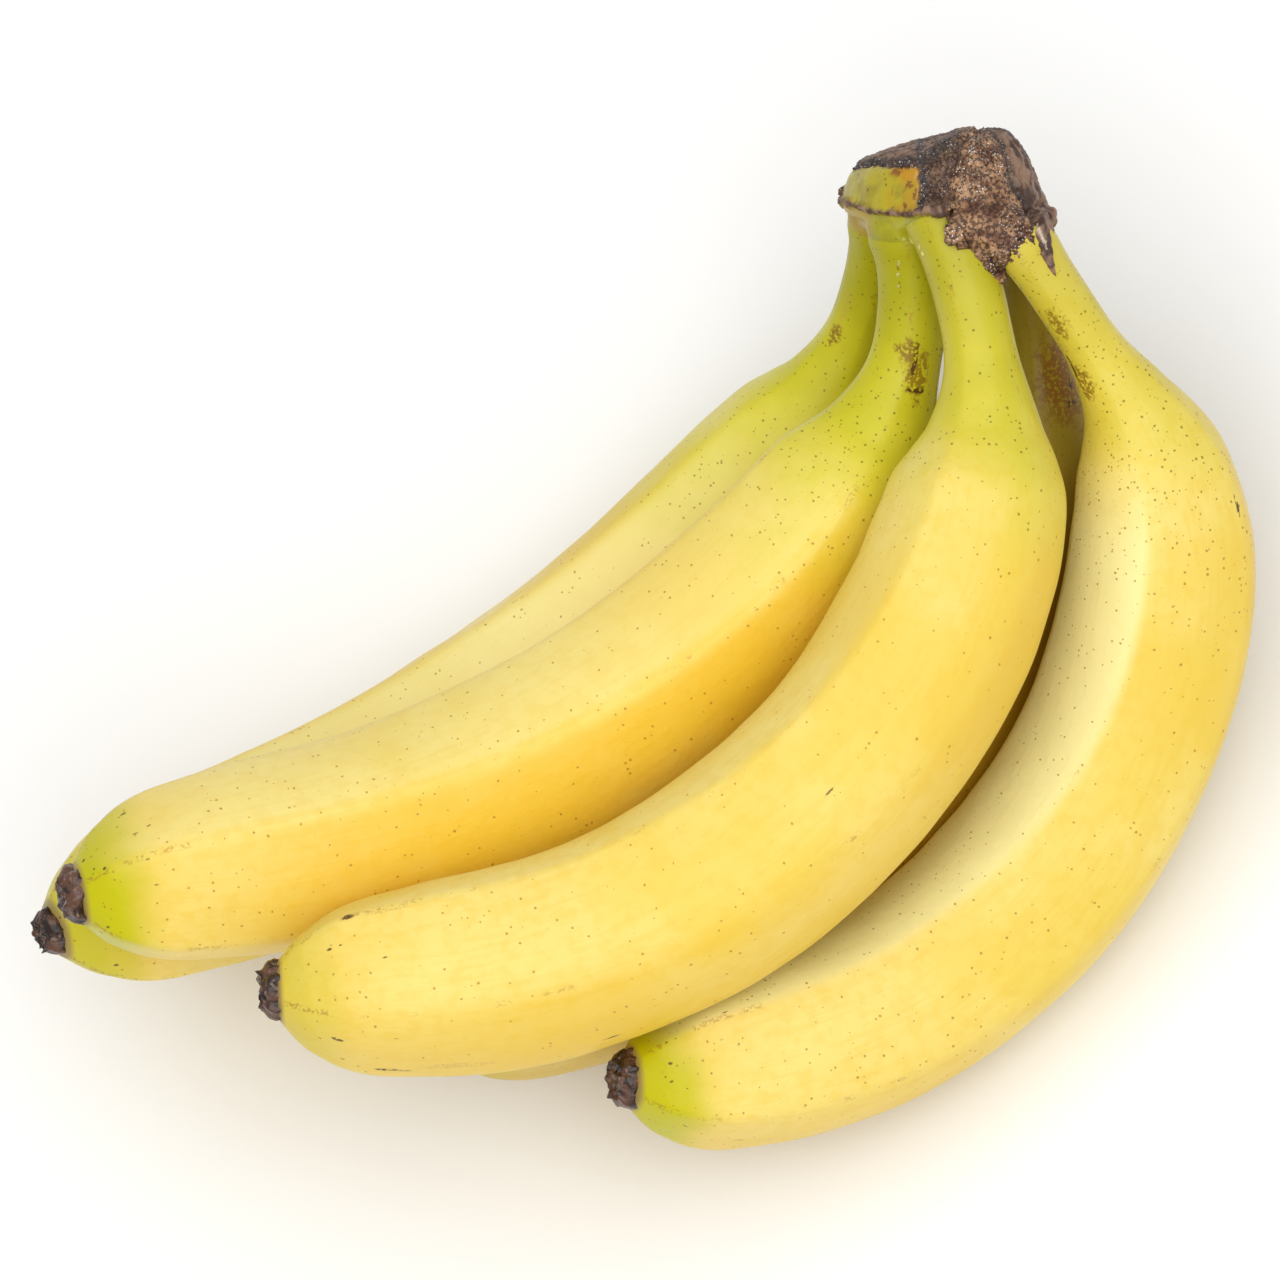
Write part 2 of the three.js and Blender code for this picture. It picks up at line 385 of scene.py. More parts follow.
# Frayed: the same place, shifted a little this way and that, to fray the edge of a spot.
frayed, given, out = group("frayed", [("Place", VECTOR, None)], [("Place", VECTOR)])
ragged = add(frayed, "TexNoise", {"Vector": given["Place"], "Scale": 2600.0, "Detail": 1.0})
shift = add(
    frayed, "VectorMath", {0: ragged.outputs["Color"], "Scale": 0.00035}, operation="SCALE",
)
moved = add(frayed, "VectorMath", {0: given["Place"], 1: shift.outputs[0]}, operation="ADD")
frayed.links.new(moved.outputs[0], out.inputs["Place"])

# Flecks: round spots in some of the cells of an uneven grid, each of its own size.
flecks, given, out = group(
    "flecks",
    [("Place", VECTOR, None), ("Per metre", FLOAT, 200.0), ("Size", FLOAT, 0.3),
     ("Kept", FLOAT, 0.5), ("Edge", FLOAT, 0.5)],
    [("Mask", FLOAT)],
)
cells = add(flecks, "TexVoronoi", {"Vector": given["Place"], "Scale": given["Per metre"]})
chance = add(flecks, "SeparateColor", {0: cells.outputs["Color"]})
kept = reckon(flecks, "LESS_THAN", chance.outputs[0], given["Kept"])
size = times(flecks, given["Size"], remap(flecks, chance.outputs[1], 0.0, 1.0, 0.35, 1.0))
spot = remap(
    flecks, cells.outputs["Distance"], size, times(flecks, size, given["Edge"]),
)
flecks.links.new(times(flecks, spot, kept), out.inputs["Mask"])

# Mark: one spot at a place, of that half length and half width, made ragged by Ragged and
# kept only where Grit is above Broken.
mark, given, out = group(
    "mark",
    [("Place", VECTOR, None), ("Centre", VECTOR, None), ("Half size", VECTOR, None),
     ("Ragged", VECTOR, None), ("Grit", FLOAT, 0.5), ("Broken", FLOAT, 0.5)],
    [("Mask", FLOAT)],
)
away = add(
    mark, "VectorMath", {0: given["Place"], 1: given["Centre"]}, operation="SUBTRACT",
)
away = add(mark, "VectorMath", {0: away.outputs[0], 1: given["Half size"]}, operation="DIVIDE")
away = add(mark, "VectorMath", {0: away.outputs[0], 1: given["Ragged"]}, operation="ADD")
off = add(mark, "VectorMath", {0: away.outputs[0]}, operation="LENGTH").outputs["Value"]
low = reckon(mark, "ADD", given["Broken"], -0.12)
whole = remap(mark, given["Grit"], low, given["Broken"])
mark.links.new(times(mark, remap(mark, off, 1.15, 0.6), whole), out.inputs["Mask"])

# Fibres: fine streaks that run along the peel.
fibres, given, out = group(
    "fibres",
    [("Place", VECTOR, None), ("Per metre", FLOAT, 900.0), ("Stretch", VECTOR, (0.06, 1, 1))],
    [("Mask", FLOAT)],
)
drawn = add(
    fibres, "VectorMath", {0: given["Place"], 1: given["Stretch"]}, operation="MULTIPLY",
)
strands = add(
    fibres, "TexNoise",
    {"Vector": drawn.outputs[0], "Scale": given["Per metre"], "Detail": 2.0},
)
fibres.links.new(strands.outputs["Fac"], out.inputs["Mask"])

PEEL_YELLOW = (0.85, 0.63, 0.105, 1)
PEEL_PALE = (0.89, 0.70, 0.19, 1)
PEEL_GOLD = (0.82, 0.54, 0.05, 1)
# The next two colours are painted light, pale on faces turned to the lamp, and painted shade,
# deep golden on faces in shade.
PEEL_PAINTED_LIGHT = (0.97, 0.91, 0.44, 1)
PEEL_PAINTED_SHADE = (0.80, 0.48, 0.003, 1)
# Brown for the upper peel of a fruit lying behind the others: partly its own browning, partly
# painted shade.
PEEL_BROWN_AND_SHADE = (0.20, 0.11, 0.010, 1)
PEEL_GREEN = (0.33, 0.31, 0.001, 1)
PEEL_LIME = (0.62, 0.58, 0.012, 1)
FLECK_RUST = (0.40, 0.20, 0.02, 1)
FLECK_OLIVE = (0.20, 0.15, 0.004, 1)
TIP_GREEN = (0.56, 0.52, 0.001, 1)
TIP_RIM = (0.30, 0.19, 0.08, 1)
DASH_BROWN = (0.07, 0.03, 0.008, 1)
RUB_BROWN = (0.34, 0.15, 0.02, 1)
# Each kind of mark: its colour, how strong and how broken it is.
MARK_KINDS = {
    "bruise": ((0.21, 0.085, 0.008, 1), 0.75, 0.49),
    "scratch": ((0.07, 0.025, 0.008, 1), 0.9, 0.47),
    "scar": ((0.50, 0.26, 0.05, 1), 0.3, 0.54),
}


def marked(tree, fruit, straight, colour):
    """colour with the fruit's own bruises, scratches and scars on it."""
    ragged = add(tree, "TexNoise", {"Vector": straight, "Scale": 700.0, "Detail": 2.0})
    ragged = add(
        tree, "VectorMath",
        {0: ragged.outputs["Color"], 1: (1.6, 1.6, 1.6), 2: (-0.8, -0.8, -0.8)},
        operation="MULTIPLY_ADD",
    ).outputs[0]
    grit = add(tree, "TexNoise", {"Vector": straight, "Scale": 1500.0, "Detail": 1.0})
    for kind, along, around, half_long, half_wide in fruit["marks"]:
        tone, strength, broken = MARK_KINDS[kind]
        out = reach(fruit, along / fruit["length"], around)
        angle = math.radians(around)
        centre = Vector((along, out * math.cos(angle), out * math.sin(angle))) * MM
        half_size = Vector((half_long, half_wide, half_wide)) * MM
        spot = use(
            tree, mark,
            {"Place": straight, "Centre": centre, "Half size": half_size, "Ragged": ragged,
             "Grit": grit.outputs["Fac"], "Broken": broken},
        )
        colour = mixed(tree, times(tree, spot, strength), colour, tone)
    return colour


def new_material(name):
    """A material with an empty node tree, and that tree."""
    material = bpy.data.materials.new(name)
    material.use_nodes = True
    material.node_tree.nodes.clear()
    return material, material.node_tree


def peel_material(name, fruit):
    material, tree = new_material(name + " peel")
    straight = add(tree, "Attribute", attribute_name="straight").outputs["Vector"]
    share = add(tree, "Attribute", attribute_name="share").outputs["Fac"]
    from_ridge = add(tree, "Attribute", attribute_name="from_ridge").outputs["Fac"]
    painted_face = add(tree, "Attribute", attribute_name="painted_face").outputs["Fac"]

    # Ripe yellow, paler and more golden in soft patches, finely mottled and streaked.
    wide = use(tree, patches, {"Place": straight, "Per metre": 28.0, "From": 0.38, "To": 0.62})
    colour = mixed(tree, wide, PEEL_YELLOW, PEEL_PALE)
    gold = use(tree, patches, {"Place": straight, "Per metre": 17.0, "From": 0.45, "To": 0.7})
    colour = mixed(tree, times(tree, gold, 0.5), colour, PEEL_GOLD)
    mottle = use(tree, patches, {"Place": straight, "Per metre": 330.0, "Fine": 2.0,
                                 "From": 0.4, "To": 0.7})
    colour = mixed(tree, times(tree, mottle, 0.3), colour, PEEL_GOLD)
    streak = use(tree, fibres, {"Place": straight})
    colour = mixed(tree, remap(tree, streak, 0.45, 0.75, 0.0, 0.25), colour, PEEL_GOLD)

    # Painted light and shade, from the shoulder to the tip: each face is a little paler than the
    # next where light falls on it, or deeper golden where shade falls.
    on_body = remap(tree, share, 0.14, 0.30)
    painted_light = times(tree, remap(tree, painted_face, 0.0, -1.0), on_body)
    colour = mixed(tree, times(tree, painted_light, 0.9), colour, PEEL_PAINTED_LIGHT)
    off_tip = remap(tree, share, 0.74, 0.93, 0.9, 0.3)
    painted_shade = times(tree, remap(tree, painted_face, 0.0, 1.0), on_body, off_tip)
    colour = mixed(tree, painted_shade, colour, PEEL_PAINTED_SHADE)

    # Green that fades from the neck down the shoulder.
    ragged = use(tree, patches, {"Place": straight, "Per metre": 60.0, "From": 0.2, "To": 0.8})
    uneven = reckon(tree, "MULTIPLY_ADD", ragged, 0.07, share)
    lime = remap(tree, uneven, 0.17, fruit["green_until"], 0.9 * fruit["neck_green"], 0.0)
    colour = mixed(tree, lime, colour, PEEL_LIME)
    green = remap(tree, uneven, 0.05, 0.25, 0.8 * fruit["neck_green"], 0.0)
    colour = mixed(tree, green, colour, PEEL_GREEN)

    # A brown laid over the upper peel, partly its own browning and partly painted shade where the
    # fruit lies behind the others.
    if fruit["brown_and_shade"]:
        brown_and_shade = remap(tree, share, 0.34, 0.55, fruit["brown_and_shade"], 0.35 * fruit["brown_and_shade"])
        colour = mixed(tree, brown_and_shade, colour, PEEL_BROWN_AND_SHADE)

    # Lime green round the tip, then a thin dry rim.
    near_tip = reckon(tree, "MULTIPLY_ADD", ragged, 0.022, share)
    tip = remap(tree, near_tip, 0.930, 0.976, 0.0, fruit["tip_green"])
    colour = mixed(tree, tip, colour, TIP_GREEN)
    rim = remap(tree, share, 0.976, 0.981, 0.0, 0.8)
    colour = mixed(tree, rim, colour, TIP_RIM)

    # Brown flecks, most of them on the neck and shoulder, and short dark dashes, most of them
    # at the tip.
    rough_place = use(tree, frayed, {"Place": straight})
    crowd = remap(tree, share, 0.14, 0.40, 0.85 * fruit["flecks"], 0.22 * fruit["flecks"])
    fine = use(
        tree, flecks,
        {"Place": rough_place, "Per metre": 880.0, "Size": 0.31, "Kept": crowd, "Edge": 0.5},
    )
    fleck_tone = mixed(tree, remap(tree, share, 0.18, 0.34), FLECK_OLIVE, FLECK_RUST)
    colour = mixed(tree, times(tree, fine, 0.8), colour, fleck_tone)
    drawn = add(
        tree, "VectorMath", {0: rough_place, 1: (0.2, 1, 1)}, operation="MULTIPLY",
    ).outputs[0]
    dashes = use(
        tree, flecks,
        {"Place": drawn, "Per metre": 560.0, "Size": 0.22, "Edge": 0.5,
         "Kept": remap(tree, share, 0.88, 0.96, 0.008, 0.5)},
    )
    colour = mixed(tree, times(tree, dashes, 0.85), colour, DASH_BROWN)

    # Ridges rub brown in places, and more so near the tip.
    rub_from = remap(tree, share, 0.80, 0.95, 0.57, 0.50)
    rub_to = remap(tree, share, 0.80, 0.95, 0.66, 0.58)
    rubbed = times(
        tree,
        remap(tree, from_ridge, 0.0001, 0.0009, 1.0, 0.0),
        use(tree, patches, {"Place": straight, "Per metre": 130.0, "Fine": 3.0,
                            "From": rub_from, "To": rub_to}),
    )
    worn = use(tree, patches, {"Place": rough_place, "Per metre": 1500.0, "Fine": 1.0,
                               "From": 0.46, "To": 0.58})
    rub = remap(tree, share, 0.80, 0.95, 0.5, 0.6)
    colour = mixed(tree, times(tree, rubbed, worn, rub), colour, RUB_BROWN)
    colour = marked(tree, fruit, straight, colour)

    height = reckon(tree, "MULTIPLY_ADD", streak, 0.6, times(tree, mottle, 0.5))
    relief = add(
        tree, "Bump", {"Height": height, "Distance": 0.00014, "Strength": 0.6},
    ).outputs[0]
    gloss = use(tree, patches, {"Place": straight, "Per metre": 90.0, "Fine": 1.0,
                                "From": 0.3, "To": 0.7})
    shader = add(
        tree, "BsdfPrincipled",
        {"Base Color": colour, "Normal": relief, "Specular IOR Level": 0.3,
         "Roughness": remap(tree, gloss, 0.0, 1.0, 0.36, 0.44)},
    )
    add(tree, "OutputMaterial", {"Surface": shader.outputs[0]})
    return material


for name, fruit in FRUITS.items():
    body = grow_fruit("peel_" + name, fruit)
    body.data.materials.append(peel_material(name, fruit))
    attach(body, "root")
    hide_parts(name)

# ---- the dried flower ends ----------------------------------------------------------------
# At each tip is the stump of the flower that the fruit grew from: a short, dark, wrinkled
# knot, about 10 mm across, dried hard and a little glossy, sunk into the end of the peel.

STUMP_RADIUS = 5.0
STUMP_LENGTH = 5.9
STUMP_SUNK = 2.7     # how much of it is inside the peel
STUMP_SIDES = 72
STUMP_RINGS = 24
STUMP_TOP_RINGS = 7
STUMP_DARK = (0.022, 0.010, 0.007, 1)
STUMP_BROWN = (0.12, 0.052, 0.030, 1)
STUMP_PALE = (0.34, 0.21, 0.15, 1)


def stump_material():
    material, tree = new_material("dried flower end")
    place = add(tree, "TexCoord").outputs["Object"]
    wide = use(tree, patches, {"Place": place, "Per metre": 420.0, "Fine": 4.0})
    colour = mixed(tree, wide, STUMP_DARK, STUMP_BROWN)
    pale = use(
        tree, patches,
        {"Place": place, "Per metre": 900.0, "Fine": 3.0, "From": 0.6, "To": 0.7},
    )
    colour = mixed(tree, times(tree, pale, 0.6), colour, STUMP_PALE)
    wrinkles = add(tree, "TexNoise", {"Vector": place, "Scale": 1300.0, "Detail": 3.0}).outputs[0]
    relief = add(
        tree, "Bump", {"Height": wrinkles, "Distance": 0.0003, "Strength": 0.8},
    ).outputs[0]
    shader = add(
        tree, "BsdfPrincipled",
        {"Base Color": colour, "Normal": relief, "Specular IOR Level": 0.5,
         "Roughness": remap(tree, pale, 0.0, 1.0, 0.24, 0.5)},
    )
    add(tree, "OutputMaterial", {"Surface": shader.outputs[0]})
    return material


def stump(name, fruit, material):
    made = tube(STUMP_SIDES, STUMP_RINGS)
    top = [face for face in made.faces if len(face.verts) > 4 and face.normal.z > 0.5]
    for ring in range(STUMP_TOP_RINGS):
        bmesh.ops.inset_region(made, faces=top, thickness=0.12, use_even_offset=False)
    x, z, turn = spine(fruit, [PEEL_ENDS])[0]
    axes = Matrix((
        (math.cos(turn), 0, -math.sin(turn), x),
        (0, -1, 0, 0),
        (math.sin(turn), 0, math.cos(turn), z),
        (0, 0, 0, 1),
    ))
    place = fruit_place(fruit) @ axes
    seed = Vector((fruit["heading"], fruit["dip"], fruit["lean"]))
    for vert in made.verts:
        across = math.hypot(vert.co.x, vert.co.y)
        angle = math.atan2(vert.co.y, vert.co.x)
        up = vert.co.z
        swell = 0.92 + 0.16 * math.sin(math.pi * min(up * 1.1, 1)) - 0.20 * ease(up, 0.7, 1)
        upright = Vector((math.cos(angle) * 2.2, math.sin(angle) * 2.2, up * 0.9))
        folds = 0.20 * (0.5 - abs(noise.noise(upright + seed))) * 2 - 0.12
        lumps = 0.16 * noise.noise(vert.co * 1.7 + seed * 2)
        fine = 0.05 * noise.noise(vert.co * 6 + seed)
        radius = STUMP_RADIUS * across * (swell + folds * ease(up, 0.1, 0.4) + lumps + fine)
        radius *= fruit.get("stump", 1)
        height = STUMP_LENGTH * up - STUMP_SUNK
        if up > 0.99:
            rough = noise.noise(Vector((vert.co.x, vert.co.y, 3)) * 2.4 + seed)
            height -= 1.2 * (1 - across) + 1.1 * rough
        flat = Vector((height, radius * math.sin(angle), radius * math.cos(angle)))
        vert.co = (place @ flat) * MM
    bmesh.ops.recalc_face_normals(made, faces=made.faces)
    piece = as_object("flower_end_" + name, made)
    piece.data.materials.append(material)
    return piece


dried = stump_material()
for name, fruit in FRUITS.items():
    end = stump(name, fruit, dried)
    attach(end, "root")

# ---- the crown ----------------------------------------------------------------------------
# The necks grow side by side from a strip of the plant's stalk. It was cut off with a knife
# and has dried to a hard brown block, over a green collar where the necks run together.

CROWN_PLACE = (
    LAID
    @ Matrix.Translation((66.7, 61.2, 81.9))
    @ Matrix.Rotation(math.radians(-42), 4, "Z")
    @ Matrix.Rotation(math.radians(-28), 4, "Y")
    @ Matrix.Rotation(math.radians(-45), 4, "X")
)
# Its outline, level by level from the underside to the cut top, in mm in its own frame, with
# X along the strip: height, slope along the strip, half length, half width and middle.
CROWN_LEVELS = (
    (3.6, 0.12, 18.4, 12.0, -2.0, 1.6),
    (4.4, 0.12, 20.2, 13.5, -1.8, 1.8),
    (6.0, 0.12, 21.0, 14.6, -2.6, 1.2),
    (11.0, 0.20, 18.8, 14.2, -4.0, 1.8),
    (15.4, 0.26, 15.8, 12.0, -4.6, 2.0),
    (17.2, 0.28, 12.0, 8.0, -5.0, 1.8),
)
CROWN_SQUARENESS = 2.2
WEB_FADES = 4.5        # how far down each neck the web between the necks reaches, mm
CROWN_VOXEL = 0.00042  # size of the finest shapes in its skin, m
CROWN_SMOOTHINGS = 4
# How finely its parts are cut before they are joined: sides round them and rings along them.
BLOCK_CUT = (72, 40)
WEB_CUT = (40, 12)
SPUR_CUT = (32, 40)

# Places on the side of the hand that was cut free are given in mm in three ways of the crown's
# frame: across to the right, up towards the cut top, and out from the hand.
ACROSS = Vector((0.669, 0.737, -0.100))
UP = Vector((-0.160, 0.273, 0.949))
OUT = Vector((0.7267, -0.6189, 0.3005))
CLEAR_OF_HAND = 60     # how far out nothing of the hand reaches, mm

# Lines on that side, as (across, up): the lip over the necks, where the brown stalk ends, the
# top of the green lobe and the edge of the cut top. Then, as (up, across), the left edge of
# the grainy column and the crease at its right.
LIP = (
    (-22, 5.6), (-19.5, 4.9), (-15.3, 3.4), (-12.6, 2.7), (-4.2, 2.3), (0, 2.2), (1.2, 0.6),
    (2.5, -0.6), (4.6, -1.2), (7, -3.0), (9.5, -3.5), (11.6, -1.5), (13.1, 0.6), (17, 0.5),
    (21, 2.5),
)
LOBE_TOP = ((-22, 9.0), (-18.5, 10.6), (-14.4, 11.7), (-6.1, 11.4), (0, 11.4))
LOBE_STARTS = -19.3
LOBE_ENDS = -5.8
RIGHT_END = 3.5      # how far across the green web goes
TOP_EDGE = (
    (-22, 9.3), (-18.5, 11), (-14.4, 12.2), (-6.1, 12.6), (-2.4, 15), (1.3, 17), (5, 18.8),
    (22, 30),
)
COLUMN_EDGE = ((-4, -2), (2, -0.4), (6, 0.6), (10, 0.2), (14, 1.6), (17, 4), (20, 7))
SIDE_EDGE = ((-4, 16.2), (1.2, 15.2), (4.9, 13.4), (9.5, 11.4), (15, 9.8), (19, 7))
# Torn ends of the stalk that hang over the necks: where each starts, its tip, half its width
# at the start, its thickness, how far out it lies where no neck is under it.
SPURS = (
    ((5.6, 2.5), (9.7, -9.6), 5.4, 1.5, 13.5),
    ((1.6, 1.0), (2.5, -2.7), 1.3, 0.8, 15.0),
    ((14.9, 3.2), (19.6, -8.8), 3.2, 1.1, 15.0),
    ((13.4, 4.0), (13.2, -2.6), 3.6, 1.2, 12.0),
    ((17.6, 3.6), (20.0, -1.6), 1.2, 0.9, 12.0),
)
SPUR_TAPER = 0.85
# Dry knobs, each with its place and radius.
NUBS = (
    (-19.6, 7.2, -9.5, 0.9), (18.3, 3.4, 2.0, 1.5), (18.9, 1.7, 3.0, 1.1),
    (18.9, -1.2, 8.5, 0.9), (16.6, 6.2, 2.5, 1.2), (9.2, 18.0, -1.0, 1.0),
    (13.6, 3.6, -7.4, 5.0),
)


def on_side(across, up, out):
    """A place on the crown's free side, in mm where the hand lies."""
    return CROWN_PLACE @ (ACROSS * across + UP * up + OUT * out)


def crown_block():
    made = tube(*BLOCK_CUT)
    for vert in made.verts:
        level = vert.co.z * (len(CROWN_LEVELS) - 1)
        z, slope, half_length, half_width, x, y = (
            smooth_through(tuple(enumerate(column)), level) for column in zip(*CROWN_LEVELS)
        )
        east, north = (
            math.copysign(abs(side) ** (2 / CROWN_SQUARENESS), side) for side in vert.co.xy
        )
        along = x + half_length * east
        vert.co = CROWN_PLACE @ Vector((along, y + half_width * north, z + slope * along))
    return made


def ring_of(fruit, along, grow):
    """Points round a neck, that far along it in mm, grown by that much."""
    sides = 28
    share = along / fruit["length"]
    middle = spine(fruit, [share])[0]
    place = fruit_place(fruit)
    return [
        place @ on_fruit(middle, around, reach(fruit, share, around) + grow)
        for around in (360 * side / sides for side in range(sides))
    ]


def neck_roots():
    """The flesh between the tops of the necks, under the block."""
    made = bmesh.new()
    for fruit in FRUITS.values():
        for along in (-fruit["root"], -2):
            for point in ring_of(fruit, along, -0.9):
                made.verts.new(point)
    hull = bmesh.ops.convex_hull(made, input=made.verts)
    inside = [item for item in hull["geom_interior"] if isinstance(item, bmesh.types.BMVert)]
    bmesh.ops.delete(made, geom=inside, context="VERTS")
    return made


def neck_web(fruit):
    """A sleeve round a neck that spreads towards the crown, to join its neighbours."""
    rings = WEB_CUT[1]
    made = tube(*WEB_CUT)
    reaches = fruit["root"] + WEB_FADES
    line_at = [-fruit["root"] + reaches * ring / rings for ring in range(rings + 1)]
    line = spine(fruit, [along / fruit["length"] for along in line_at])
    place = fruit_place(fruit)
    for vert in made.verts:
        ring = round(vert.co.z * rings)
        around = math.degrees(math.atan2(vert.co.y, vert.co.x))
        grow = 0.3 - 1.5 * ease(line_at[ring], -3.5, WEB_FADES)
        spread = reach(fruit, line_at[ring] / fruit["length"], around) + grow
        vert.co = place @ on_fruit(line[ring], around, spread)
    return made


def spur(start, tip, half_width, thickness, rest_out, necks):
    """A torn end of the stalk, lying on what is under it."""
    made = tube(*SPUR_CUT)
    away = CROWN_PLACE.to_3x3() @ OUT
    for vert in made.verts:
        narrows = (1 - vert.co.z) ** SPUR_TAPER
        bent = 0.8 * math.sin(vert.co.z * math.pi) + 0.25 * math.sin(vert.co.z * 17)
        across = start[0] + (tip[0] - start[0]) * vert.co.z + vert.co.x * half_width * narrows
        across -= 0.25 * bent
        up = start[1] + (tip[1] - start[1]) * vert.co.z
        hit = necks.ray_cast(on_side(across, up, CLEAR_OF_HAND) * MM, -away)[0]
        out = rest_out
        if hit:
            out = max(out, (CROWN_PLACE.inverted() @ (hit / MM)).dot(OUT))
        lift = thickness * (0.2 + 0.8 * narrows)
        vert.co = on_side(across, up, out + vert.co.y * lift)
    return made


def nub(across, up, out, radius):
    """A dry knob on the crown's edge."""
    made = bmesh.new()
    bmesh.ops.create_icosphere(made, subdivisions=3, radius=radius)
    bmesh.ops.translate(made, vec=on_side(across, up, out), verts=made.verts)
    return made


def drop_crumbs(made):
    """Keep only the largest joined piece of the mesh."""
    unseen = set(made.verts)
    islands = []
    while unseen:
        front = {unseen.pop()}
        island = set()
        while front:
            island |= front
            front = {edge.other_vert(vert) for vert in front for edge in vert.link_edges}
            front &= unseen
            unseen -= front
        islands.append(island)
    largest = max(islands, key=len)
    crumbs = [vert for vert in made.verts if vert not in largest]
    bmesh.ops.delete(made, geom=crumbs, context="VERTS")


def carve_crown(parts):
    """One skin round the parts, smoothed and carved, with where its finishes are."""
    joined = bmesh.new()
    for part in parts:
        mesh = bpy.data.meshes.new("part")
        bmesh.ops.recalc_face_normals(part, faces=part.faces)
        part.to_mesh(mesh)
        joined.from_mesh(mesh)
        bpy.data.meshes.remove(mesh)
        part.free()
    bmesh.ops.scale(joined, vec=(MM, MM, MM), verts=joined.verts)
    rough = as_object("rough_crown", joined)
    skin = rough.modifiers.new("skin", "REMESH")
    skin.mode = "VOXEL"
    skin.voxel_size = CROWN_VOXEL
    graph = bpy.context.evaluated_depsgraph_get()
    mesh = bpy.data.meshes.new_from_object(rough.evaluated_get(graph))
    bpy.data.objects.remove(rough)
    made = bmesh.new()
    made.from_mesh(mesh)
    bpy.data.meshes.remove(mesh)
    drop_crumbs(made)
    for step in range(CROWN_SMOOTHINGS):
        bmesh.ops.smooth_vert(
            made, verts=made.verts, factor=0.5, use_axis_x=True, use_axis_y=True, use_axis_z=True,
        )
    made.normal_update()
    masks = {name: made.verts.layers.float.new(name) for name in CROWN_MASKS}
    into = CROWN_PLACE.inverted()
    moves = []
    for vert in made.verts:
        at = into @ (vert.co / MM)
        marks, rise = crown_finish(at)
        for name, mark in marks.items():
            vert[masks[name]] = mark
        moves.append((vert, vert.normal * rise * MM))
    for vert, move in moves:
        vert.co += move
    return as_object("dried_crown", made)


CROWN_MASKS = ("collar", "lobe", "dark", "streaked", "burnt", "amber", "pale")
FIBRE = ((15.9, 1.0), (18.0, -3.8), 0.09)  # a pale fibre on the third torn end


def on_spur(across, up, start, tip, half_width):
    """1 on that torn end of the stalk, 0 off it."""
    way = Vector(tip) - Vector(start)
    place = Vector((across, up)) - Vector(start)
    share = place.dot(way) / way.length_squared
    if not 0 <= share < 1:
        return 0
    off = abs(place.x - way.x * share) / (half_width * (1 - share) ** SPUR_TAPER + 0.1)
    return ease(1.25 - off, 0, 0.2)


def crown_finish(at):
    """How much of each finish there is at a place of the crown, and how far it stands out.

    Places and blends are in mm, and noise makes each edge wander as torn stalk does.
    """
    wander = noise.noise(at * 0.45) * 0.8 + noise.noise(at * 1.1) * 0.5
    wander += noise.noise(at * 3) * 0.2
    across = at.dot(ACROSS) + wander
    up = at.dot(UP) + noise.noise(at * 0.9 + UP * 9) * 0.5 + noise.noise(at * 3 + UP) * 0.2
    over_lip = up - smooth_through(LIP, across)
    torn = max(on_spur(across, up, *size[:3]) for size in SPURS)
    collar = ease(-over_lip, -0.2, 0.2) * (1 - torn) * ease(RIGHT_END - across, 0, 1.5)
    cut = up - smooth_through(TOP_EDGE, across)
    below_lobe_top = smooth_through(LOBE_TOP, across) - up
    lobe = ease(over_lip, 0.9, 1.3) * ease(below_lobe_top, 0, 0.4)
    lobe *= ease(LOBE_ENDS - across, 0, 0.4) * ease(at.dot(ACROSS) - LOBE_STARTS, 0, 0.3)
    dry = 1 - max(collar, lobe)
    past_column = across - smooth_through(COLUMN_EDGE, up)
    past_side = across - smooth_through(SIDE_EDGE, up)
    # shaded is the recess left of the grainy column: sunk a little, and painted darker there as
    # shade.
    shaded = ease(across, -7, -5.5) * ease(-past_column, -0.8, 0.8) * ease(-cut, 0, 1)
    folded = (1 - ease(over_lip, 0.8, 1.5)) * (1 - ease(across, -1, 0.5))
    streaked = dry * max(ease(past_side, -0.5, 0.5), ease(cut, 0, 0.8), folded)
    # Black rims: along the edge of the cut top, at the lobe's right end and in the side's crease.
    rim = (1 - ease(abs(cut), 0.3, 1.0)) * ease(3 - across, 0, 3)
    rim = max(rim, 1 - ease(abs(across + 5.4), 0.3, 1.1))
    rim = max(rim, 0.8 * (1 - ease(abs(past_side), 0.2, 0.9)))
    burnt = dry * rim * ease(over_lip, 0.3, 1.5)
    folds = noise.noise(Vector((at.x * 0.8, at.y * 0.8, at.z * 0.16)))
    rough = dry * (1 - 0.75 * streaked)
    rise = rough * (0.35 * noise.noise(at * 0.8) + 0.2 * noise.noise(at * 2.1) + 0.15)
    rise += rough * 0.22 * noise.noise(at * 4.2)
    rise += streaked * (0.3 - 0.9 * abs(folds))
    rise += lobe * (0.35 + 0.3 * noise.noise(at * 0.25))
    rise -= 1.2 * shaded * dry * ease(over_lip, 1.5, 4)
    rise += 0.8 * ease(past_column, 0, 3) * ease(-past_side, 0, 3) * dry
    rise += 0.45 * (1 - ease(abs(cut - 0.6), 0, 1.2)) * dry
    rise -= 0.55 * (1 - ease(abs(cut + 0.6), 0, 0.7)) * dry
    rise -= 0.9 * (1 - ease(abs(past_side), 0, 1.0)) * (1 - ease(up, 12, 15)) * dry
    rise += 0.7 * (1 - collar) * folded
    # The lip rolls over the neck under it.
    over_neck = ease(across, -5.5, -3) * (1 - ease(across, 1.5, 3.5))
    rise += 1.6 * over_neck * (1 - ease(over_lip, 2, 4.5)) * (1 - collar)
    if over_lip < 0:
        amber = 1 - ease(across, -15.5, -13.5)
    else:
        amber = ease(across + 4 * noise.noise(at * 0.3), -11.5, -8)
    pale = on_spur(across - wander, up, *FIBRE)
    marks = (collar, lobe, shaded * dry, streaked, burnt, amber, pale)
    return dict(zip(CROWN_MASKS, marks)), rise


